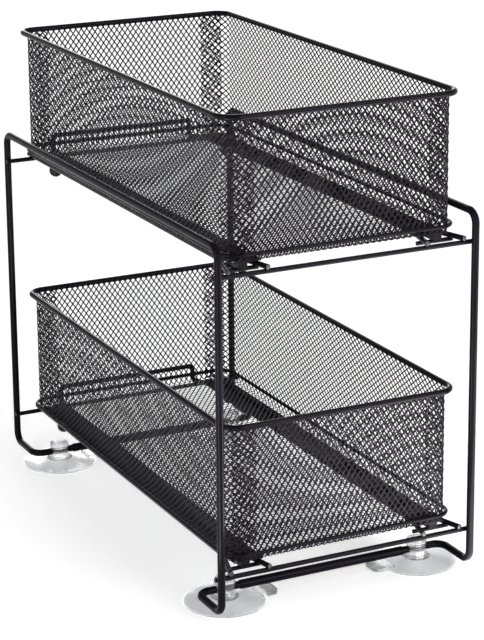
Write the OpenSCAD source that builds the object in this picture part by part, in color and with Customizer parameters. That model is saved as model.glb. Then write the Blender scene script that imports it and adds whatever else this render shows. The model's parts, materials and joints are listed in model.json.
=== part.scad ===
// Two-tier cabinet rack: a bent-wire frame on suction cups carries two sliding mesh baskets.
// X runs left to right, Y front to back, Z up from the surface it stands on.

/* [Frame] */
// Spacing of the posts from left to right, centre to centre
post_span = 205; // [195:1:230]
// Spacing of the posts from front to back, centre to centre
post_depth = 402; // [370:1:440]
// Diameter of the frame wire
frame_wire_d = 5.6; // [5:0.1:6.2]
// Centreline radius of the bends in the frame wire
frame_bend_r = 8.8; // [7:0.2:12]
// How far each foot wire lies inside its post, front to back
foot_inset = 40.8; // [36:0.2:50]
// Height of the top rail above the upper cross wires
top_rise = 22.4; // [18:0.2:30]
// Gap between each end of a joining tube and the head of the cup beside it
tube_end_gap = 4.7; // [3:0.1:8]
// Outside diameter of a joining tube
tube_d = 7; // [6.6:0.1:8]
// Radial clearance between a joining tube and the wires in it
tube_clearance = 0.1; // [0.05:0.05:0.2]
// Length of frame wire inside each end of a joining tube
tube_overlap = 20; // [12:1:30]

/* [Tiers] */
// Height of the lower cross wires above the floor
lower_tier_z = 34.8; // [32:0.2:45]
// Height from the lower to the upper cross wires
tier_pitch = 221.7; // [190:0.5:260]
// Diameter of the cross wires
cross_wire_d = 3.6; // [3.2:0.1:4]
// Gap left between wires at a weld
weld_gap = 0.02; // [0.01:0.01:0.05]

/* [Rails] */
// Diameter of the rail wire
rail_d = 4; // [3.6:0.1:4.4]
// Distance of the slot between a pair of rails from the post centre
slot_inset = 24.75; // [24:0.25:27]
// Width of the slot between a pair of rails
slot_width = 8.5; // [8.3:0.1:9]
// How far an outer rail flares outwards at the front
outer_flare = 10.2; // [8:0.2:11]
// How far an inner rail flares inwards at the front
inner_flare = 8; // [5:0.2:10]
// Length of the flared front ends
flare_length = 35.5; // [30:0.5:45]
// How far the rails stand out past the centre of the front cross wire
rail_overhang = 3.1; // [2.5:0.1:4]
// Centreline radius of the easy bends in the rails
rail_bend_r = 18; // [12:1:24]
// How far the back-stop hoop lies inside the straight run of the inner rail
hoop_jog = 9; // [6:0.5:12]
// Length over which the inner rail jogs inwards at the rear
hoop_jog_length = 18; // [14:1:24]
// How far the hoop stands behind the rear cross wire, centre to centre
hoop_back = 2.2; // [1.5:0.1:3]
// Height of the hoop above the rails
hoop_height = 13.2; // [11:0.2:16]
// Centreline radius of the bends in the hoop
hoop_bend_r = 3.2; // [3:0.1:4]
// Diameter of the tie bars under the rails
tie_bar_d = 3.2; // [2.8:0.1:3.4]
// Distance of the tie bars behind the front cross wire
tie_bar_back = 12.4; // [10:0.2:16]
// How far a tie bar reaches past the centres of the two rails
tie_bar_over = 3.4; // [2.5:0.1:4]

/* [Baskets] */
// Gap between the rim of a basket and the posts
basket_side_gap = 4.15; // [3:0.05:6]
// Distance of the front of the rim behind the front posts, centre to centre
basket_front_inset = 7.5; // [6:0.5:12]
// Distance of the back of the rim in front of the rear posts, centre to centre
basket_back_inset = 11; // [10:0.5:16]
// Height from the top of the basket floor to the rim centre
basket_height = 101.3; // [70:0.5:130]
// Diameter of the rim wire
rim_d = 4.4; // [4:0.1:5]
// Centreline radius of the corners of the rim
rim_corner_r = 13; // [10:0.5:16]
// Diameter of the ring wire round the bottom of the walls
ring_d = 3; // [2.6:0.1:3.4]
// Height of the ring wire centre above the top of the floor
ring_rise = 4.4; // [3:0.1:6]
// Thickness of the mesh
mesh_t = 1.2; // [1:0.1:1.4]
// Width of a strand of the net
strand_w = 2.6; // [2:0.1:3.4]
// Mesh columns along a side wall
side_cols = 15; // [10:1:20]
// Mesh rows up a side wall
side_rows = 6; // [4:1:7]
// Mesh columns along a front or back wall
end_cols = 10; // [6:1:12]
// Mesh rows up a front or back wall
end_rows = 5; // [3:1:6]
// Mesh columns across the floor
floor_cols = 9; // [6:1:10]
// Mesh rows along the floor
floor_rows = 14; // [10:1:15]

/* [Runners] */
// Gap between the runner flanges and the top of the rails
slide_gap = 0.3; // [0.25:0.05:0.5]
// Thickness of the sheet-metal runner
runner_t = 0.8; // [0.6:0.1:1]
// Width of the pressed groove of a runner, outside
groove_w = 7; // [6.8:0.1:7.4]
// Gap between the groove bottom and the cross wires below it
groove_clearance = 0.4; // [0.3:0.05:0.6]
// Width of the inner flange, measured from the groove
inner_flange_w = 10.75; // [9:0.25:12]
// Width of the outer flange, measured from the groove
outer_flange_w = 5.25; // [4.5:0.25:7]
// Distance of the runner ends inside the mesh walls
runner_end_inset = 2; // [1:0.5:6]
// Distance of a stop button in front of the back of the rim
stop_inset = 34; // [28:1:50]
// Diameter of the ball of a stop button
stop_head_d = 10.6; // [9.6:0.1:11.6]
// Height of the ball below its flat top
stop_head_h = 8.7; // [8:0.1:9.4]
// Diameter of a stop button shank
stop_shank_d = 5; // [4:0.1:5.2]
// Height of the rivet head of a stop button
rivet_h = 0.6; // [0.4:0.1:1]
// Gap between the rivet head and the sides of the groove
rivet_gap = 0.1; // [0.05:0.05:0.3]
// Height of the underside of the rails above the flat top of the ball
stop_gap = 0.4; // [0.3:0.05:0.6]

/* [Suction cups] */
// Diameter of a cup
cup_d = 62.4; // [54:0.2:66]
// Distance of the cup centres inside the posts, left to right
cup_inset = 22; // [22:0.2:25]
// Height of the bore for the frame wire
cup_bore_z = 10.1; // [9.4:0.1:12]
// Radial clearance of the bore on the frame wire
cup_clearance = 0.1; // [0.05:0.05:0.2]
// Diameter of the cup head
cup_head_d = 15.6; // [15:0.2:16]
// Height of the head above the bore centre
cup_head_rise = 8.4; // [7.6:0.1:9.4]
// Height of the head above the groove
cup_cap_h = 4.6; // [4:0.1:5]
// Rounding of the top edge of the head
cup_head_round = 1.7; // [1:0.1:2.2]
// Depth of the groove under the head
cup_neck_depth = 0.5; // [0.3:0.1:1]
// How far the foot of the stem spreads past the head, in radius
cup_foot_flare = 2.6; // [1.6:0.1:3.4]
// Height of the flare at the foot of the stem
cup_flare_h = 3.6; // [3:0.1:4.2]
// Height of the dome at the foot of the stem
cup_dome_h = 5.2; // [4.6:0.1:5.6]
// Thickness of the cup under the stem
cup_web_t = 2.2; // [1.8:0.1:2.6]
// Thickness of the cup at its edge
cup_edge_t = 1.2; // [0.8:0.1:1.6]
// Width of the flat contact ring round the edge
cup_lip_w = 1.5; // [1:0.1:2.5]
// Length of the pull tab past the edge of the cup
cup_tab_length = 9.3; // [6:0.1:12]
// How far the pull tab reaches in over the cup from its edge
cup_tab_root = 7.7; // [6:0.1:9]
// Width of the pull tab
cup_tab_w = 19; // [14:0.5:22]
// Thickness of the pull tab
cup_tab_t = 2.6; // [2:0.1:3]
// Height of the underside of the pull tab
cup_tab_lift = 0.8; // [0.6:0.1:1]
// Radius of the corners of the pull tab
cup_tab_r = 5.5; // [4:0.1:6.5]

/* [Hidden] */
$fn = 48;

steel = [0.07, 0.07, 0.075];
clear = [0.85, 0.87, 0.88, 0.5];

post_x = post_span / 2;
post_y = post_depth / 2;
foot_y = post_y - foot_inset;
upper_tier_z = lower_tier_z + tier_pitch;
top_z = upper_tier_z + top_rise;
cup_x = post_x - cup_inset;
tube_half = cup_x - cup_head_d / 2 - tube_end_gap;

cross_y = post_y - frame_wire_d / 2 - cross_wire_d / 2 - weld_gap;
cross_length = post_span + frame_wire_d;

// Heights in a tier, above the centre of its cross wires.
rail_z = cross_wire_d / 2 + rail_d / 2 + weld_gap;
rail_top = rail_z + rail_d / 2;
tie_z = rail_z - rail_d / 2 - tie_bar_d / 2 - weld_gap;
flange_z = rail_top + slide_gap;
groove_z = cross_wire_d / 2 + groove_clearance;
floor_z = flange_z + runner_t;
wall_z = floor_z + mesh_t;
ring_z = wall_z + ring_rise;
rim_z = wall_z + basket_height;
wall_h = basket_height + rim_d / 4;
stop_top = rail_z - rail_d / 2 - stop_gap;

slot_x = post_x - slot_inset;
inner_x = slot_x - slot_width / 2 - rail_d / 2;
outer_x = slot_x + slot_width / 2 + rail_d / 2;
rail_front = -cross_y - rail_overhang;
flare_y = rail_front + flare_length;
tie_y = -cross_y + tie_bar_back;
tie_share = (flare_y - tie_y) / flare_length;
tie_inner = inner_x - inner_flare * tie_share - tie_bar_over;
tie_outer = outer_x + outer_flare * tie_share + tie_bar_over;
hoop_x = inner_x - hoop_jog;
hoop_y = cross_y + hoop_back;

// Bends are this much thicker in radius than the straights, which lap into them.
bend_swell = 0.04;
bend_lap = 0.25;

rim_x = post_x - frame_wire_d / 2 - basket_side_gap - rim_d / 2;
rim_front = -post_y + basket_front_inset;
rim_back = post_y - basket_back_inset;
wall_x = rim_x - rim_d / 2 - weld_gap;
wall_front = rim_front + rim_d / 2 + weld_gap;
wall_back = rim_back - rim_d / 2 - weld_gap;
wall_length = wall_back - wall_front;
corner_r = rim_corner_r;
ring_out = ring_d / 2 + bend_swell + weld_gap;
stop_y = rim_back - stop_inset;

function unit(v) = v / norm(v);

// A straight round wire from p to q.
module rod(p, q, d) {
  v = q - p;
  translate(p)
    rotate([0, acos(v[2] / norm(v)), atan2(v[1], v[0])])
      cylinder(h = norm(v), d = d);
}

// Length from a bend's corner point to where the bend starts.
function setback(p, q, s, r) = r * tan(acos(unit(q - p) * unit(s - q)) / 2);

// The curved piece of wire at corner q on the way from p to s.
module elbow(p, q, s, r, d) {
  u = unit(q - p);
  w = unit(s - q);
  turn = acos(u * w);
  n = unit(cross(u, w));
  m = cross(n, u);
  c = q - u * setback(p, q, s, r) + m * r;
  multmatrix([
    [-m[0], u[0], n[0], c[0]],
    [-m[1], u[1], n[1], c[1]],
    [-m[2], u[2], n[2], c[2]],
    [0, 0, 0, 1]
  ])
    rotate_extrude(angle = turn)
      translate([r, 0])
        circle(d = d);
}

// One wire bent through the points, with bend radius r[i] at inner point i.
module bent_wire(pts, r, d) {
  last = len(pts) - 1;
  for (i = [0 : last - 1]) {
    u = unit(pts[i + 1] - pts[i]);
    a = i == 0 ? 0 : setback(pts[i - 1], pts[i], pts[i + 1], r[i - 1]) - bend_lap;
    b = i == last - 1 ? 0 : setback(pts[i], pts[i + 1], pts[i + 2], r[i]) - bend_lap;
    rod(pts[i] + u * a, pts[i + 1] - u * b, d);
  }
  for (i = [1 : last - 1])
    elbow(pts[i - 1], pts[i], pts[i + 1], r[i - 1], d + 2 * bend_swell);
}

// A closed rectangular ring of wire with rounded corners.
module ring_wire(x, front, back, z, r, d) {
  pts = [[x, front, z], [x, back, z], [-x, back, z], [-x, front, z]];
  for (i = [0 : 3]) {
    p = pts[i];
    q = pts[(i + 1) % 4];
    s = pts[(i + 2) % 4];
    u = unit(q - p);
    rod(p + u * (r - bend_lap), q - u * (r - bend_lap), d);
    elbow(p, q, s, r, d + 2 * bend_swell);
  }
}

// Side frame on the right; the left one is its mirror image.
module side_frame() {
  inner_end = tube_half - tube_overlap;
  bent_wire(
    [
      [inner_end, -foot_y, cup_bore_z],
      [post_x, -foot_y, cup_bore_z],
      [post_x, -post_y, cup_bore_z],
      [post_x, -post_y, top_z],
      [post_x, post_y, top_z],
      [post_x, post_y, cup_bore_z],
      [post_x, foot_y, cup_bore_z],
      [inner_end, foot_y, cup_bore_z]
    ],
    [for (i = [1 : 6]) frame_bend_r],
    frame_wire_d
  );
}

module joining_tube(y) {
  translate([-tube_half, y, cup_bore_z])
    rotate([0, 90, 0])
      difference() {
        cylinder(h = 2 * tube_half, d = tube_d);
        translate([0, 0, -1])
          cylinder(h = 2 * tube_half + 2, d = frame_wire_d + 2 * tube_clearance);
      }
}

module cross_wire(y, z) {
  rod([-cross_length / 2, y, z], [cross_length / 2, y, z], cross_wire_d);
}

// Both inner rails of a tier are one wire, joined by the hoop at the rear.
module inner_rail(z) {
  h = z + rail_z;
  top = h + hoop_height;
  jog = hoop_y - hoop_jog_length;
  bent_wire(
    [
      [-inner_x + inner_flare, rail_front, h],
      [-inner_x, flare_y, h],
      [-inner_x, jog, h],
      [-hoop_x, hoop_y, h],
      [-hoop_x, hoop_y, top],
      [hoop_x, hoop_y, top],
      [hoop_x, hoop_y, h],
      [inner_x, jog, h],
      [inner_x, flare_y, h],
      [inner_x - inner_flare, rail_front, h]
    ],
    [
      rail_bend_r, rail_bend_r / 2, hoop_bend_r, hoop_bend_r,
      hoop_bend_r, hoop_bend_r, rail_bend_r / 2, rail_bend_r
    ],
    rail_d
  );
}

module outer_rail(z) {
  h = z + rail_z;
  bent_wire(
    [
      [outer_x + outer_flare, rail_front, h],
      [outer_x, flare_y, h],
      [outer_x, cross_y + rail_overhang, h]
    ],
    [rail_bend_r],
    rail_d
  );
}

module tie_bar(z) {
  rod([tie_inner, tie_y, z + tie_z], [tie_outer, tie_y, z + tie_z], tie_bar_d);
}

// Thick pull tab with a blunt rounded end, pointing to -X from the edge of the cup.
module pull_tab() {
  edge = -cup_d / 2;
  tip = edge - cup_tab_length;
  half = cup_tab_w / 2;
  translate([0, 0, cup_tab_lift])
    linear_extrude(height = cup_tab_t) {
      translate([tip + cup_tab_r, -half])
        square([cup_tab_length + cup_tab_root - cup_tab_r, cup_tab_w]);
      translate([tip, -half + cup_tab_r])
        square([cup_tab_r + 1, cup_tab_w - 2 * cup_tab_r]);
      for (side = [-1, 1])
        translate([tip + cup_tab_r, side * (half - cup_tab_r)])
          circle(r = cup_tab_r);
    }
}

// One moulded suction cup with its bore along X.
module suction_cup() {
  cup_r = cup_d / 2;
  head_r = cup_head_d / 2;
  neck_r = head_r - cup_neck_depth;
  foot_r = head_r + cup_foot_flare;
  lip_r = cup_r - cup_lip_w;
  top = cup_bore_z + cup_head_rise;
  steps = 10;
  difference() {
    union() {
      rotate_extrude()
        polygon(concat(
          [
            [0, top],
            [head_r - cup_head_round, top],
            [head_r - cup_head_round * 0.3, top - cup_head_round * 0.3],
            [head_r, top - cup_head_round],
            [head_r, top - cup_cap_h],
            [neck_r, top - cup_cap_h - cup_neck_depth],
            [neck_r, cup_dome_h + cup_flare_h],
            [neck_r + (foot_r - neck_r) * 0.35, cup_dome_h + cup_flare_h * 0.4]
          ],
          [
            for (i = [0 : steps])
              let (t = i / steps)
                [
                  foot_r + (cup_r - foot_r) * t,
                  cup_edge_t + (cup_dome_h - cup_edge_t) * pow(1 - t, 1.7)
                ]
          ],
          [[cup_r, 0]],
          [
            for (i = [0 : steps])
              let (t = i / steps)
                [
                  lip_r + (foot_r - lip_r) * t,
                  (cup_dome_h - cup_web_t) * pow(t, 1.7)
                ]
          ],
          [[0, cup_dome_h - cup_web_t]]
        ));
      pull_tab();
    }
    translate([-cup_head_d, 0, cup_bore_z])
      rotate([0, 90, 0])
        cylinder(h = 2 * cup_head_d, d = frame_wire_d + 2 * cup_clearance);
  }
}

module cup_at(side, y) {
  on_side(side)
    translate([cup_x, y, 0])
      suction_cup();
}

// One opening of the net: a diamond cut off where it would pass the edge of the panel.
module net_gap(x, y, a, b, w, h) {
  polygon([
    [max(x - a, 0), y],
    [x, max(y - b, 0)],
    [min(x + a, w), y],
    [x, min(y + b, h)]
  ]);
}

// A flat diamond net inside a plain border, in the plane of X and Y.
module net(length, height, cols, rows) {
  border = strand_w;
  w = length - 2 * border;
  h = height - 2 * border;
  px = w / cols;
  py = h / rows;
  shrink = 1 - strand_w * norm([px, py]) / (px * py);
  a = px / 2 * shrink;
  b = py / 2 * shrink;
  difference() {
    square([length, height]);
    translate([border, border]) {
      for (i = [0 : cols - 1], j = [0 : rows - 1])
        net_gap((i + 0.5) * px, (j + 0.5) * py, a, b, w, h);
      for (i = [1 : cols - 1], j = [0 : rows])
        net_gap(i * px, j * py, a, b, w, h);
      for (i = [0, cols], j = [1 : rows - 1])
        net_gap(i * px, j * py, a, b, w, h);
    }
  }
}

module rim(z) {
  ring_wire(rim_x, rim_front, rim_back, z + rim_z, rim_corner_r, rim_d);
}

module bottom_ring(z) {
  ring_wire(
    wall_x + ring_out,
    wall_front - ring_out,
    wall_back + ring_out,
    z + ring_z,
    corner_r + ring_out,
    ring_d
  );
}

// A wall across the basket, with its outer face towards -Y at y.
module end_wall(y, z) {
  length = 2 * (wall_x - corner_r);
  translate([-length / 2, y + mesh_t, z + wall_z])
    rotate([90, 0, 0])
      linear_extrude(height = mesh_t)
        net(length, wall_h, end_cols, end_rows);
}

// A wall along the basket, with its outer face towards +X.
module side_wall(z) {
  translate([wall_x - mesh_t, wall_front + corner_r, z + wall_z])
    rotate([90, 0, 90])
      linear_extrude(height = mesh_t)
        net(wall_length - 2 * corner_r, wall_h, side_cols, side_rows);
}

// A rounded corner of the wall about the Z axis, in the quarter of +X and +Y.
module wall_corner() {
  gap_h = wall_h / end_rows / 2 - strand_w;
  gap_w = corner_r * 0.5;
  difference() {
    rotate_extrude(angle = 90)
      translate([corner_r - mesh_t, 0])
        square([mesh_t, wall_h]);
    for (j = [0 : end_rows - 1])
      rotate([0, 0, 45])
        translate([corner_r / 2, 0, (j + 0.5) * wall_h / end_rows])
          rotate([90, 0, 90])
            linear_extrude(height = corner_r)
              polygon([[-gap_w, 0], [0, -gap_h], [gap_w, 0], [0, gap_h]]);
  }
}

module mesh_corners(z) {
  x = wall_x - corner_r;
  front = wall_front + corner_r;
  back = wall_back - corner_r;
  translate([0, 0, z + wall_z]) {
    translate([x, back, 0])
      wall_corner();
    translate([-x, back, 0])
      rotate([0, 0, 90])
        wall_corner();
    translate([-x, front, 0])
      rotate([0, 0, 180])
        wall_corner();
    translate([x, front, 0])
      rotate([0, 0, 270])
        wall_corner();
  }
}

module floor_mesh(z) {
  corner_cut = corner_r * 0.29;
  translate([-wall_x, wall_front, z + floor_z])
    linear_extrude(height = mesh_t)
      difference() {
        net(2 * wall_x, wall_length, floor_cols, floor_rows);
        for (i = [0, 1], j = [0, 1])
          translate([i * 2 * wall_x, j * wall_length])
            rotate(45)
              square(2 * sqrt(2) * corner_cut, center = true);
      }
}

// Pressed channel under the floor: flanges ride over the rails, the groove runs in the slot.
// Its front end is closed.
module runner(z) {
  half = groove_w / 2;
  inner = -half - inner_flange_w;
  outer = half + outer_flange_w;
  length = wall_length - 2 * runner_end_inset;
  difference() {
    translate([slot_x, wall_back - runner_end_inset, z])
      rotate([90, 0, 0]) {
        linear_extrude(height = length)
          polygon([
            [inner, flange_z],
            [-half, flange_z],
            [-half, groove_z],
            [half, groove_z],
            [half, flange_z],
            [outer, flange_z],
            [outer, floor_z],
            [half - runner_t, floor_z],
            [half - runner_t, groove_z + runner_t],
            [-half + runner_t, groove_z + runner_t],
            [-half + runner_t, floor_z],
            [inner, floor_z]
          ]);
        translate([-half, groove_z, length - runner_t])
          cube([groove_w, floor_z - groove_z, runner_t]);
      }
    translate([slot_x, stop_y, z])
      cylinder(h = floor_z, d = stop_shank_d + 2 * weld_gap);
  }
}

// Ball-headed button riveted through the groove; the ball is wider than the slot above it.
module stop_button(z) {
  r = stop_head_d / 2;
  translate([slot_x, stop_y, z]) {
    translate([0, 0, stop_top])
      cylinder(h = groove_z + runner_t - stop_top + weld_gap, d = stop_shank_d);
    translate([0, 0, groove_z + runner_t + weld_gap])
      cylinder(h = rivet_h, d = groove_w - 2 * runner_t - 2 * rivet_gap);
    intersection() {
      translate([0, 0, stop_top - stop_head_h + r])
        sphere(r = r);
      translate([0, 0, stop_top - stop_head_h - 1])
        cylinder(h = stop_head_h + 1, r = r + 1);
    }
  }
}

module on_side(side) {
  mirror([side < 0 ? 1 : 0, 0, 0])
    children();
}

color(steel) on_side(-1) side_frame();  // left_side_frame
color(steel) on_side(1) side_frame();  // right_side_frame
color(steel) joining_tube(-foot_y);  // front_joining_tube
color(steel) joining_tube(foot_y);  // rear_joining_tube
color(steel) cross_wire(-cross_y, upper_tier_z);  // upper_front_cross_wire
color(steel) cross_wire(cross_y, upper_tier_z);  // upper_rear_cross_wire
color(steel) cross_wire(-cross_y, lower_tier_z);  // lower_front_cross_wire
color(steel) cross_wire(cross_y, lower_tier_z);  // lower_rear_cross_wire
color(steel) inner_rail(upper_tier_z);  // upper_inner_rail
color(steel) inner_rail(lower_tier_z);  // lower_inner_rail
color(steel) on_side(-1) outer_rail(upper_tier_z);  // upper_left_outer_rail
color(steel) on_side(1) outer_rail(upper_tier_z);  // upper_right_outer_rail
color(steel) on_side(-1) outer_rail(lower_tier_z);  // lower_left_outer_rail
color(steel) on_side(1) outer_rail(lower_tier_z);  // lower_right_outer_rail
color(steel) on_side(-1) tie_bar(upper_tier_z);  // upper_left_tie_bar
color(steel) on_side(1) tie_bar(upper_tier_z);  // upper_right_tie_bar
color(steel) on_side(-1) tie_bar(lower_tier_z);  // lower_left_tie_bar
color(steel) on_side(1) tie_bar(lower_tier_z);  // lower_right_tie_bar
color(clear) cup_at(-1, -foot_y);  // front_left_cup
color(clear) cup_at(1, -foot_y);  // front_right_cup
color(clear) cup_at(-1, foot_y);  // rear_left_cup
color(clear) cup_at(1, foot_y);  // rear_right_cup
color(steel) rim(upper_tier_z);  // upper_rim
color(steel) bottom_ring(upper_tier_z);  // upper_bottom_ring
color(steel) end_wall(wall_front, upper_tier_z);  // upper_front_mesh
color(steel) end_wall(wall_back - mesh_t, upper_tier_z);  // upper_back_mesh
color(steel) on_side(-1) side_wall(upper_tier_z);  // upper_left_mesh
color(steel) on_side(1) side_wall(upper_tier_z);  // upper_right_mesh
color(steel) mesh_corners(upper_tier_z);  // upper_mesh_corners
color(steel) floor_mesh(upper_tier_z);  // upper_floor_mesh
color(steel) on_side(-1) runner(upper_tier_z);  // upper_left_runner
color(steel) on_side(1) runner(upper_tier_z);  // upper_right_runner
color(steel) on_side(-1) stop_button(upper_tier_z);  // upper_left_stop
color(steel) on_side(1) stop_button(upper_tier_z);  // upper_right_stop
color(steel) rim(lower_tier_z);  // lower_rim
color(steel) bottom_ring(lower_tier_z);  // lower_bottom_ring
color(steel) end_wall(wall_front, lower_tier_z);  // lower_front_mesh
color(steel) end_wall(wall_back - mesh_t, lower_tier_z);  // lower_back_mesh
color(steel) on_side(-1) side_wall(lower_tier_z);  // lower_left_mesh
color(steel) on_side(1) side_wall(lower_tier_z);  // lower_right_mesh
color(steel) mesh_corners(lower_tier_z);  // lower_mesh_corners
color(steel) floor_mesh(lower_tier_z);  // lower_floor_mesh
color(steel) on_side(-1) runner(lower_tier_z);  // lower_left_runner
color(steel) on_side(1) runner(lower_tier_z);  // lower_right_runner
color(steel) on_side(-1) stop_button(lower_tier_z);  // lower_left_stop
color(steel) on_side(1) stop_button(lower_tier_z);  // lower_right_stop
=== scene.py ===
import json
import math

import bpy
import numpy as np
from mathutils import Matrix, Vector


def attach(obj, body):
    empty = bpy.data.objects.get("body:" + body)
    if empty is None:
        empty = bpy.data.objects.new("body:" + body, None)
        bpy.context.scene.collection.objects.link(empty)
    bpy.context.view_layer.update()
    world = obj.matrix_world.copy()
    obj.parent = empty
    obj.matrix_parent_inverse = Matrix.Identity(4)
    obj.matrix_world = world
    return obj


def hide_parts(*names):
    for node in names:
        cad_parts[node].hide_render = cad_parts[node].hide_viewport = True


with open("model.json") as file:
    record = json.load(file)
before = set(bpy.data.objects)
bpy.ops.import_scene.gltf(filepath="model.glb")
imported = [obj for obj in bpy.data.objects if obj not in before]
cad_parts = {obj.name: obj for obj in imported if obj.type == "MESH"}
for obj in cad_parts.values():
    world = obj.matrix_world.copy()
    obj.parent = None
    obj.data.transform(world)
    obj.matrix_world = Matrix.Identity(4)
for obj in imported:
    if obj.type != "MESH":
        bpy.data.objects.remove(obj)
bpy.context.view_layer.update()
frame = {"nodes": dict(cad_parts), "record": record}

MM = 0.001
scene = bpy.context.scene

# Sizes of the model, in millimetres, as in the part's source.
TIERS = {"upper": 256.5, "lower": 34.8}
WALL_X = 91.13
WALL_FRONT = -191.28
WALL_BACK = 187.78
CORNER_R = 13.0
FLOOR_Z = 6.92
RIM_Z = 109.42
RAIL_Z = 3.82
RAIL_END_Y = 199.48
INNER_RAIL_X = 71.5
OUTER_RAIL_X = 84.0
INNER_FLARE = 8.0
OUTER_FLARE = 10.2
FLARE_LENGTH = 35.5

# The fine mesh, in millimetres: diamond openings between thin strands.
CELL_A = 4.95
CELL_B = 6.7
STRAND_W = 1.24
# The strands of the side walls, where the cells lie on their sides, look narrower.
SIDE_STRAND_W = 1.12
STRAND_T = 0.55
STRAND_SIDES = 6
# The two families of strands lie this far to either side of the middle of the sheet.
LAP = 0.1
# Room between the strands and the faces of the wall that they stand for.
SKIN = 0.05
# Bend between the floor and the walls.
FOLD_R = 1.5
FOLD = FOLD_R * math.pi / 2
FOLD_POINTS = 4
# The floor's strands run this far into the bend, and the walls' strands this far into the rim.
FLOOR_LAP = 0.4
RIM_LAP = 0.6
# The strands of stretched sheet lean to one side: the slope of their faces.
LEAN = 0.30
# The side walls turn the corners and lie inside the end walls.
FLAP = 9.0
FLAP_INSET = 0.9
# Spacing of the points along a strand where it bends; a straight length keeps each fourth one.
FINE_STEP = 2.0
STRAIGHT_EVERY = 4
SHORTEST_STRAND = 0.5
# Steps along the floor in which the ends of its strands are sought, and the fewest of a strand.
FLOOR_STEPS = 4000
FEWEST_STEPS = 30

# The middle of the sheet, as a rounded rectangle seen from above.
MID = STRAND_T / 2 + LAP + SKIN
HALF_X = WALL_X - MID
FRONT = WALL_FRONT + MID
BACK = WALL_BACK - MID
BEND = CORNER_R - MID
RUN_X = 2 * (HALF_X - BEND)
RUN_Y = BACK - FRONT - 2 * BEND
ARC = BEND * math.pi / 2
LOOP = 2 * RUN_X + 2 * RUN_Y + 4 * ARC

# The cut ends of the rails: radius of the face in millimetres, then its rings from the edge
# inwards, each with its share of the radius and its height.
CUT_R = 1.7
CUT_SIDES = 24
CUT_RINGS = ((1.0, 0.02), (0.86, 0.16), (0.55, 0.24))

# The coating: scale of its changes of shade, and its fine orange-peel grain.
SHADE_SCALE = 22.0
SHADE_DETAIL = 3.0
GRAIN_DETAIL = 2.0
GRAIN_STRENGTH = 0.12
COAT_TINT = (0.94, 0.87, 1.0, 1.0)
RAMP_ENDS = (0.35, 0.65)

# The clear plastic of the cups.
CLOUD_SCALE = 60.0
CLEAR_LOW = (0.76, 0.765, 0.785)
CLEAR_HIGH = (0.86, 0.865, 0.88)
CLEAR_ROUGH = (0.06, 0.16)
CLEAR_BUMP = 0.15
CLEAR_BUMP_DEPTH = 0.0003
CLEAR_TRANSMISSION = 0.90
CLEAR_ALPHA = 0.85
CLEAR_IOR = 1.46
# Painted shade on the pull tabs, nearer to the middle of the rack than the cups: their colour is
# darkened to stand in for the dark rod that shows through them. The places in millimetres where
# the painted shade starts and where it is full, and its strength against the cup.
TAB_START_X = 51.5
TAB_FULL_X = 48.5
TAB_PAINTED_SHADE = 0.40

# The studio, in metres and watts.
FLOOR_REACH = 6
FLOOR_COLOR = (0.95, 0.95, 0.95, 1)
FLOOR_ROUGH = 0.9
FLOOR_SHINE = 0.1
# Glow of the floor near the object and far from it, and where the one turns into the other.
FLOOR_GLOW = (0.61, 0.80)
FLOOR_GLOW_REACH = (2.2, 3.0)
WHITE = (1, 1, 1, 1)
# Strength of the surroundings as a light, and of their ceiling where reflections find it.
WORLD_LIGHT = 0.2
CEILING_GLOW = 0.3
CEILING_HEIGHT = (0.2, 0.42)
LAMP_TARGET = (0, 0, 0.2)
STRIP_HEIGHT = 0.004
STRIP_SIZE = (0.90, 0.16)
STRIP_POWER = 4.8

# The camera, fitted to the photograph: lens in pixels, angles in radians, place in metres.
FOCAL_PX = 2291.8
IMAGE_HEIGHT_PX = 640
SENSOR = 36.0
SHIFT = -0.12
AZIMUTH = 0.4572
ELEVATION = 0.2688
ROLL = 0.0087
CAMERA_PLACE = (-0.7471, -1.5487, 0.6940)


def node_material(name):
    """A new material, its node tree and its shader."""
    mat = bpy.data.materials.new(name)
    mat.use_nodes = True
    tree = mat.node_tree
    return mat, tree, tree.nodes["Principled BSDF"]


def add(tree, kind, **settings):
    """A new node; a setting goes to the input of its name, or else to the node itself."""
    node = tree.nodes.new(kind)
    for key, value in settings.items():
        if key in node.inputs:
            node.inputs[key].default_value = value
        else:
            setattr(node, key, value)
    return node


def coordinate(tree, kind):
    return tree.nodes.new("ShaderNodeTexCoord").outputs[kind]


def noise(tree, scale, detail):
    node = add(tree, "ShaderNodeTexNoise", Scale=scale, Detail=detail)
    tree.links.new(coordinate(tree, "Object"), node.inputs["Vector"])
    return node.outputs["Fac"]


def ramp(tree, source, low, high):
    """Colours from low to high over the middle of the source's range."""
    node = tree.nodes.new("ShaderNodeValToRGB")
    for stop, place, color in zip(node.color_ramp.elements, RAMP_ENDS, (low, high)):
        stop.position = place
        stop.color = (*color, 1.0)
    tree.links.new(source, node.inputs["Fac"])
    return node.outputs["Color"]


def spread(tree, source, low, high, start=0.0, end=1.0, kind="LINEAR"):
    """The source's range from start to end, mapped to the range from low to high."""
    node = add(tree, "ShaderNodeMapRange", interpolation_type=kind)
    node.inputs["From Min"].default_value = start
    node.inputs["From Max"].default_value = end
    node.inputs["To Min"].default_value = low
    node.inputs["To Max"].default_value = high
    tree.links.new(source, node.inputs["Value"])
    return node.outputs["Result"]


def combine(tree, operation, first, second):
    node = add(tree, "ShaderNodeMath", operation=operation)
    tree.links.new(first, node.inputs[0])
    tree.links.new(second, node.inputs[1])
    return node.outputs[0]


def bump(tree, source, strength, distance):
    node = add(tree, "ShaderNodeBump", Strength=strength, Distance=distance)
    tree.links.new(source, node.inputs["Height"])
    return node.outputs["Normal"]


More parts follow.
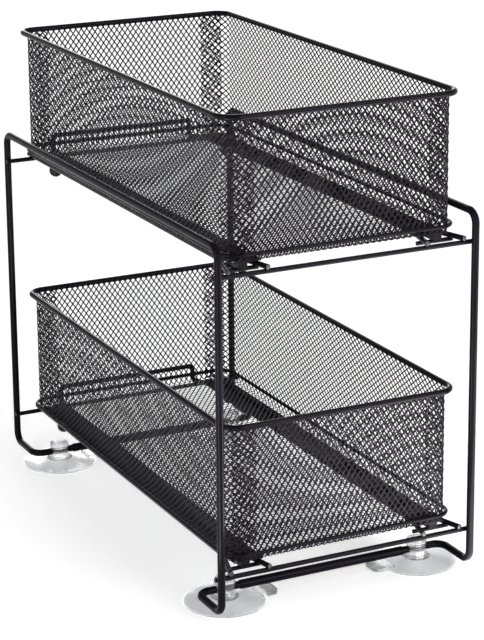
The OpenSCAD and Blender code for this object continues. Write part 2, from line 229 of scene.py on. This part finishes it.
def coated(name, dark, light, rough, grain, depth, shine):
    """Black coating on steel: slight shade changes and a fine orange-peel surface."""
    mat, tree, bsdf = node_material(name)
    broad = noise(tree, SHADE_SCALE, SHADE_DETAIL)
    fine = noise(tree, grain, GRAIN_DETAIL)
    tree.links.new(ramp(tree, broad, dark, light), bsdf.inputs["Base Color"])
    tree.links.new(spread(tree, fine, *rough), bsdf.inputs["Roughness"])
    tree.links.new(bump(tree, fine, GRAIN_STRENGTH, depth), bsdf.inputs["Normal"])
    bsdf.inputs["Specular IOR Level"].default_value = shine
    bsdf.inputs["Specular Tint"].default_value = COAT_TINT
    return mat


def painted_tab_shade(tree):
    """1 over the cups and less over their pull tabs: painted shade for the dark rod seen through
    them.
    """
    split = tree.nodes.new("ShaderNodeSeparateXYZ")
    tree.links.new(coordinate(tree, "Object"), split.inputs[0])
    aside = add(tree, "ShaderNodeMath", operation="ABSOLUTE")
    tree.links.new(split.outputs["X"], aside.inputs[0])
    full, start = TAB_FULL_X * MM, TAB_START_X * MM
    return spread(tree, aside.outputs[0], TAB_PAINTED_SHADE, 1.0, full, start, "SMOOTHSTEP")


def clear_plastic(name):
    """Soft clear plastic: a faint grey tint, slightly uneven gloss and painted shade on the pull
    tabs.
    """
    mat, tree, bsdf = node_material(name)
    cloud = noise(tree, CLOUD_SCALE, SHADE_DETAIL)
    tint = add(tree, "ShaderNodeVectorMath", operation="SCALE")
    tree.links.new(ramp(tree, cloud, CLEAR_LOW, CLEAR_HIGH), tint.inputs["Vector"])
    # Painted shade: the grey tint is darkened over the pull tabs.
    tree.links.new(painted_tab_shade(tree), tint.inputs["Scale"])
    tree.links.new(tint.outputs["Vector"], bsdf.inputs["Base Color"])
    tree.links.new(spread(tree, cloud, *CLEAR_ROUGH), bsdf.inputs["Roughness"])
    tree.links.new(bump(tree, cloud, CLEAR_BUMP, CLEAR_BUMP_DEPTH), bsdf.inputs["Normal"])
    bsdf.inputs["Transmission Weight"].default_value = CLEAR_TRANSMISSION
    bsdf.inputs["Alpha"].default_value = CLEAR_ALPHA
    bsdf.inputs["IOR"].default_value = CLEAR_IOR
    return mat


WIRE = coated(
    "coated_wire",
    dark=(0.0058, 0.0050, 0.0072),
    light=(0.0090, 0.0080, 0.0112),
    rough=(0.13, 0.20),
    grain=900.0,
    depth=0.00003,
    shine=0.06,
)
MESH = coated(
    "coated_mesh",
    dark=(0.0072, 0.0062, 0.0092),
    light=(0.0124, 0.0108, 0.0156),
    rough=(0.30, 0.42),
    grain=1400.0,
    depth=0.00008,
    shine=0.12,
)
SHEET = coated(
    "runner_sheet",
    dark=(0.0085, 0.0074, 0.0106),
    light=(0.0140, 0.0123, 0.0174),
    rough=(0.32, 0.46),
    grain=700.0,
    depth=0.0001,
    shine=0.14,
)
BUTTON = coated(
    "stop_button",
    dark=(0.0080, 0.0074, 0.0092),
    light=(0.0130, 0.0122, 0.0150),
    rough=(0.36, 0.48),
    grain=1100.0,
    depth=0.0001,
    shine=0.22,
)
# Cut faces of the rails: lighter than the coating, partly for the cut itself and partly a
# painted highlight for the light that the end faces catch.
CUT_END_PAINTED_HIGHLIGHT = coated(
    "cut_wire_end_painted_highlight",
    dark=(0.040, 0.037, 0.045),
    light=(0.075, 0.070, 0.084),
    rough=(0.30, 0.42),
    grain=1600.0,
    depth=0.0001,
    shine=0.45,
)
CLEAR = clear_plastic("clear_pvc")
FINISH = {
    "coated_wire": WIRE,
    "coated_mesh": MESH,
    "runner_sheet": SHEET,
    "stop_button": BUTTON,
    "clear_pvc": CLEAR,
}

for sub in frame["record"]["subparts"]:
    node = frame["nodes"][sub["node"]]
    node.data.materials.clear()
    node.data.materials.append(FINISH[sub["material_slot"]])


def mesh_object(name, verts, faces, mat):
    """A smooth piece from points in millimetres."""
    mesh = bpy.data.meshes.new(name)
    mesh.from_pydata((verts * MM).tolist(), [], faces)
    mesh.update()
    mesh.polygons.foreach_set("use_smooth", [True] * len(mesh.polygons))
    mesh.materials.append(mat)
    obj = bpy.data.objects.new(name, mesh)
    scene.collection.objects.link(obj)
    return obj


def tubes(paths, normals, widths):
    """Points and faces of many flat strands; paths and normals are lists of (n, 3) arrays."""
    verts, faces = [], []
    base = 0
    angle = np.arange(STRAND_SIDES) / STRAND_SIDES * 2 * np.pi + np.pi / STRAND_SIDES
    cosine = np.cos(angle)[None, :, None]
    sine = np.sin(angle)[None, :, None]
    for path, normal, width in zip(paths, normals, widths):
        along = np.gradient(path, axis=0)
        along /= np.linalg.norm(along, axis=1)[:, None]
        across = np.cross(along, normal)
        across /= np.linalg.norm(across, axis=1)[:, None]
        through = np.cross(across, along)
        wide = width / 2 * cosine * across[:, None]
        thick = STRAND_T / 2 * sine * through[:, None]
        verts.append((path[:, None] + wide + thick).reshape(-1, 3))

        count = len(path)
        ring, corner = np.meshgrid(np.arange(count - 1), np.arange(STRAND_SIDES), indexing="ij")
        first = base + ring * STRAND_SIDES + corner
        second = base + ring * STRAND_SIDES + (corner + 1) % STRAND_SIDES
        quads = [first, second, second + STRAND_SIDES, first + STRAND_SIDES]
        faces.append(np.stack(quads, axis=-1).reshape(-1, 4))
        for row, order in ((0, -1), (count - 1, 1)):
            loop = (base + row * STRAND_SIDES + np.arange(STRAND_SIDES))[::order]
            caps = [loop[[0, m, m + 1, m + 2]] for m in range(1, STRAND_SIDES - 2, 2)]
            faces.append(np.array(caps))
        base += count * STRAND_SIDES
    return np.concatenate(verts), np.concatenate(faces).tolist()


def round_wall(s):
    """Point and outward normal on the rounded rectangle at length s along it."""
    s = np.mod(s, LOOP)
    point = np.zeros((len(s), 2))
    normal = np.zeros((len(s), 2))
    start = 0.0
    sides = (
        ((-HALF_X + BEND, FRONT), (1, 0), RUN_X, (HALF_X - BEND, FRONT + BEND), -90),
        ((HALF_X, FRONT + BEND), (0, 1), RUN_Y, (HALF_X - BEND, BACK - BEND), 0),
        ((HALF_X - BEND, BACK), (-1, 0), RUN_X, (-HALF_X + BEND, BACK - BEND), 90),
        ((-HALF_X, BACK - BEND), (0, -1), RUN_Y, (-HALF_X + BEND, FRONT + BEND), 180),
    )
    for origin, way, run, centre, angle in sides:
        here = (s >= start) & (s < start + run)
        point[here] = np.array(origin) + np.outer(s[here] - start, way)
        normal[here] = (way[1], -way[0])
        start += run
        here = (s >= start) & (s < start + ARC)
        turn = np.radians(angle) + (s[here] - start) / BEND
        normal[here] = np.stack([np.cos(turn), np.sin(turn)], axis=1)
        point[here] = np.array(centre) + BEND * normal[here]
        start += ARC
    return point, normal


def folded_strand(s, t, low, lift, lean_up, lean_along):
    """Path and normals of a strand at length s along the wall and t up the folded sheet."""
    bent = np.clip(t / FOLD_R, 0, math.pi / 2)
    point, normal = round_wall(s)
    along = np.column_stack([-normal[:, 1], normal[:, 0], np.zeros(len(normal))])
    upward = np.column_stack([normal * np.cos(bent)[:, None], np.sin(bent)])
    outward = np.column_stack([normal * np.sin(bent)[:, None], -np.cos(bent)])
    inset = FOLD_R * (1 - np.sin(bent)) - lift * np.sin(bent)
    height = np.where(t < FOLD, low + FOLD_R * (1 - np.cos(bent)), low + FOLD_R + t - FOLD)
    path = np.column_stack([point - normal * inset[:, None], height - lift * np.cos(bent)])
    return path, outward + lean_up * upward + lean_along * along


def wall_mesh(tier, z):
    """Walls folded up from the floor sheet: wide cells on the sides, which lap over the ends."""
    low = z + FLOOR_Z + MID
    length = FOLD + z + RIM_Z + RIM_LAP - low - FOLD_R
    end = (RUN_X, ARC / 2, 0.0, CELL_A, CELL_B, STRAND_W)
    side = (RUN_Y, ARC + FLAP, FLAP_INSET, CELL_B, CELL_A, SIDE_STRAND_W)
    panels = (
        (0.0, *end, 0.0, -LEAN),
        (RUN_X + ARC, *side, -LEAN, 0.0),
        (RUN_X + RUN_Y + 2 * ARC, *end, 0.0, LEAN),
        (2 * RUN_X + RUN_Y + 3 * ARC, *side, LEAN, 0.0),
    )
    paths, normals, widths = [], [], []
    for start, run, turn, inset, cell_w, cell_h, width, lean_up, lean_along in panels:
        wide = run + 2 * turn
        count = round(wide / cell_w)
        pitch = wide / count
        reach = math.ceil(length / cell_h)
        for way, lift in ((1, LAP), (-1, -LAP)):
            for i in range(-reach, count + reach + 1):
                crossings = (-way * i * cell_h, way * (count - i) * cell_h)
                bottom, top = np.clip(sorted(crossings), 0, length)
                if top - bottom < SHORTEST_STRAND:
                    continue
                t = np.linspace(bottom, top, max(3, int((top - bottom) / FINE_STEP)))
                if bottom < FOLD:
                    t = np.union1d(t, np.linspace(bottom, min(FOLD, top), FOLD_POINTS))
                s = i * pitch + way * t * pitch / cell_h - turn
                # Straight lengths need few points; bends keep them all.
                keep = (s < cell_w) | (s > run - cell_w) | (t < FOLD + cell_h)
                keep[::STRAIGHT_EVERY] = True
                keep[-1] = True
                s, t = s[keep], t[keep]
                past = np.clip(np.maximum(-s, s - run) / (ARC / 2), 0, 1)
                sunk = lift - inset * past
                path, normal = folded_strand(start + s, t, low, sunk, lean_up, lean_along)
                paths.append(path)
                normals.append(normal)
                widths.append(width)
    obj = mesh_object(tier + "_wall_mesh", *tubes(paths, normals, widths), MESH)
    walls = ("front_mesh", "back_mesh", "left_mesh", "right_mesh", "mesh_corners")
    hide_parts(*(tier + "_" + wall for wall in walls))
    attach(obj, tier + "_basket")


def inside_floor(x, y, half_x, front, back, radius):
    """Which points lie in the rounded rectangle of the floor."""
    past_x = np.abs(x) - (half_x - radius)
    past_y = np.abs(y - (front + back) / 2) - ((back - front) / 2 - radius)
    out = np.hypot(np.maximum(past_x, 0), np.maximum(past_y, 0))
    near = (out <= radius) & (np.maximum(past_x, past_y) <= radius)
    return ((past_x < 0) & (past_y < 0)) | near


def floor_mesh(tier, z):
    """The floor: two families of straight strands cut to a rounded rectangle."""
    half_x = HALF_X - FOLD_R + FLOOR_LAP
    front = FRONT + FOLD_R - FLOOR_LAP
    back = BACK - FOLD_R + FLOOR_LAP
    level = z + FLOOR_Z + MID
    slope = CELL_A / CELL_B
    reach = math.ceil((half_x + (back - front) * slope) / CELL_A)
    y = np.linspace(front, back, FLOOR_STEPS)
    paths, normals = [], []
    for way, lift in ((1, LAP), (-1, -LAP)):
        for i in range(-reach, reach + 1):
            x = i * CELL_A + way * (y - (front + back) / 2) * slope
            kept = np.nonzero(inside_floor(x, y, half_x, front, back, BEND - FOLD_R))[0]
            if len(kept) < FEWEST_STEPS:
                continue
            ends = [kept[0], (kept[0] + kept[-1]) // 2, kept[-1]]
            paths.append(np.column_stack([x[ends], y[ends], np.full(3, level + lift)]))
            normals.append(np.tile([LEAN, 0.0, 1.0], (3, 1)))
    widths = [STRAND_W] * len(paths)
    obj = mesh_object(tier + "_floor_net", *tubes(paths, normals, widths), MESH)
    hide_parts(tier + "_floor_mesh")
    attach(obj, tier + "_basket")


def rail_ends(tier, z):
    """Slightly domed cut faces where the rail wires end, in a lighter colour that is partly a
    painted highlight.
    """
    ends = []
    for side in (-1, 1):
        inner_x = (INNER_RAIL_X - INNER_FLARE) * side
        outer_x = (OUTER_RAIL_X + OUTER_FLARE) * side
        ends.append(((inner_x, -RAIL_END_Y), (-INNER_FLARE * side, -FLARE_LENGTH)))
        ends.append(((outer_x, -RAIL_END_Y), (OUTER_FLARE * side, -FLARE_LENGTH)))
        ends.append(((OUTER_RAIL_X * side, RAIL_END_Y), (0.0, 1.0)))
    verts, faces = [], []
    up = np.array([0.0, 0.0, 1.0])
    for place, way in ends:
        base = len(verts)
        centre = np.array([*place, z + RAIL_Z])
        out = np.array([*way, 0.0]) / math.hypot(*way)
        across = np.array([-out[1], out[0], 0.0])
        for share, height in CUT_RINGS:
            for angle in np.arange(CUT_SIDES) / CUT_SIDES * 2 * np.pi:
                spoke = math.cos(angle) * across + math.sin(angle) * up
                verts.append(centre + out * height + CUT_R * share * spoke)
        inner_rings = len(CUT_RINGS) - 1
        for ring in range(inner_rings):
            for j in range(CUT_SIDES):
                first = base + ring * CUT_SIDES + j
                second = base + ring * CUT_SIDES + (j + 1) % CUT_SIDES
                faces.append((first, second, second + CUT_SIDES, first + CUT_SIDES))
        faces.append(tuple(base + inner_rings * CUT_SIDES + j for j in range(CUT_SIDES)))
    obj = mesh_object(tier + "_rail_ends", np.array(verts), faces, CUT_END_PAINTED_HIGHLIGHT)
    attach(obj, "frame")


for tier, z in TIERS.items():
    wall_mesh(tier, z)
    floor_mesh(tier, z)

for tier, z in TIERS.items():
    rail_ends(tier, z)


def seen_directly(tree):
    """1 for rays of the camera, of reflections and through clear parts, else 0."""
    path = tree.nodes.new("ShaderNodeLightPath")
    result = path.outputs["Is Camera Ray"]
    for ray in ("Is Glossy Ray", "Is Transmission Ray"):
        result = combine(tree, "MAXIMUM", result, path.outputs[ray])
    return result


def pale_floor():
    """A wide floor that looks white where it is seen and keeps the object's shadow."""
    far = FLOOR_REACH
    mesh = bpy.data.meshes.new("floor")
    corners = [(-far, -far, 0), (far, -far, 0), (far, far, 0), (-far, far, 0)]
    mesh.from_pydata(corners, [], [(0, 1, 2, 3)])
    floor = bpy.data.objects.new("floor", mesh)
    scene.collection.objects.link(floor)
    mat, tree, bsdf = node_material("pale_floor")
    bsdf.inputs["Base Color"].default_value = FLOOR_COLOR
    bsdf.inputs["Roughness"].default_value = FLOOR_ROUGH
    bsdf.inputs["Specular IOR Level"].default_value = FLOOR_SHINE
    bsdf.inputs["Emission Color"].default_value = WHITE
    away = add(tree, "ShaderNodeVectorMath", operation="LENGTH")
    tree.links.new(coordinate(tree, "Object"), away.inputs[0])
    level = spread(tree, away.outputs["Value"], *FLOOR_GLOW, *FLOOR_GLOW_REACH, "SMOOTHSTEP")
    glow = combine(tree, "MULTIPLY", seen_directly(tree), level)
    tree.links.new(glow, bsdf.inputs["Emission Strength"])
    mesh.materials.append(mat)


def surroundings():
    """White all round; reflections find a dimmer ceiling higher up."""
    world = bpy.data.worlds.new("studio")
    scene.world = world
    world.use_nodes = True
    tree = world.node_tree
    back = tree.nodes["Background"]
    back.inputs["Color"].default_value = WHITE
    split = tree.nodes.new("ShaderNodeSeparateXYZ")
    tree.links.new(coordinate(tree, "Generated"), split.inputs[0])
    ceiling = spread(tree, split.outputs["Z"], 1.0, CEILING_GLOW, *CEILING_HEIGHT, "SMOOTHSTEP")
    path = tree.nodes.new("ShaderNodeLightPath")
    glow = add(tree, "ShaderNodeMapRange")
    glow.inputs["To Min"].default_value = WORLD_LIGHT
    tree.links.new(seen_directly(tree), glow.inputs["Value"])
    bright = combine(tree, "MAXIMUM", path.outputs["Is Camera Ray"], ceiling)
    tree.links.new(bright, glow.inputs["To Max"])
    tree.links.new(glow.outputs["Result"], back.inputs["Strength"])


def lamp(name, place, turn, size, power):
    data = bpy.data.lights.new(name, "AREA")
    data.shape = "RECTANGLE"
    data.size, data.size_y = size
    data.energy = power
    obj = bpy.data.objects.new(name, data)
    obj.location = place
    obj.rotation_euler = turn
    obj.visible_camera = False
    scene.collection.objects.link(obj)


def softbox(name, place, size, power):
    """A broad lamp aimed at the object."""
    aim = Vector(LAMP_TARGET) - Vector(place)
    lamp(name, place, aim.to_track_quat("-Z", "Y").to_euler(), size, power)


def strip(name, place, way):
    """A long low lamp that faces up and draws bright lines on the upright wires."""
    turn = (math.pi, 0, math.atan2(way[1], way[0]))
    lamp(name, (*place, STRIP_HEIGHT), turn, STRIP_SIZE, STRIP_POWER)


def camera():
    """The camera at the photograph's viewing angle."""
    data = bpy.data.cameras.new("camera")
    data.sensor_fit = "VERTICAL"
    data.sensor_height = SENSOR
    data.sensor_width = SENSOR
    data.lens = FOCAL_PX / IMAGE_HEIGHT_PX * SENSOR
    data.shift_y = SHIFT
    level = math.cos(ELEVATION)
    ahead = Vector((math.sin(AZIMUTH) * level, math.cos(AZIMUTH) * level, -math.sin(ELEVATION)))
    right = Vector((math.cos(AZIMUTH), -math.sin(AZIMUTH), 0))
    down = ahead.cross(right)
    rolled_right = math.cos(ROLL) * right + math.sin(ROLL) * down
    rolled_down = -math.sin(ROLL) * right + math.cos(ROLL) * down
    pose = Matrix((rolled_right, -rolled_down, -ahead)).transposed().to_4x4()
    pose.translation = Vector(CAMERA_PLACE)
    obj = bpy.data.objects.new("camera", data)
    obj.matrix_world = pose
    scene.collection.objects.link(obj)
    scene.camera = obj


pale_floor()
surroundings()
softbox("left_softbox", (-1.6, -0.56, 0.8), (0.9, 0.9), 8)
softbox("right_softbox", (0.56, -1.6, 0.8), (0.7, 0.8), 12)
softbox("back_softbox", (1.5, 4.5, 1.8), (2.2, 2.6), 54)
softbox("top_softbox", (1.0, -0.55, 2.1), (0.9, 0.5), 7)
strip("left_strip", (-0.60, -0.45), (-0.915, -0.404))
strip("right_strip", (0.42, -0.52), (0.807, -0.590))
camera()
scene.view_settings.view_transform = "Standard"
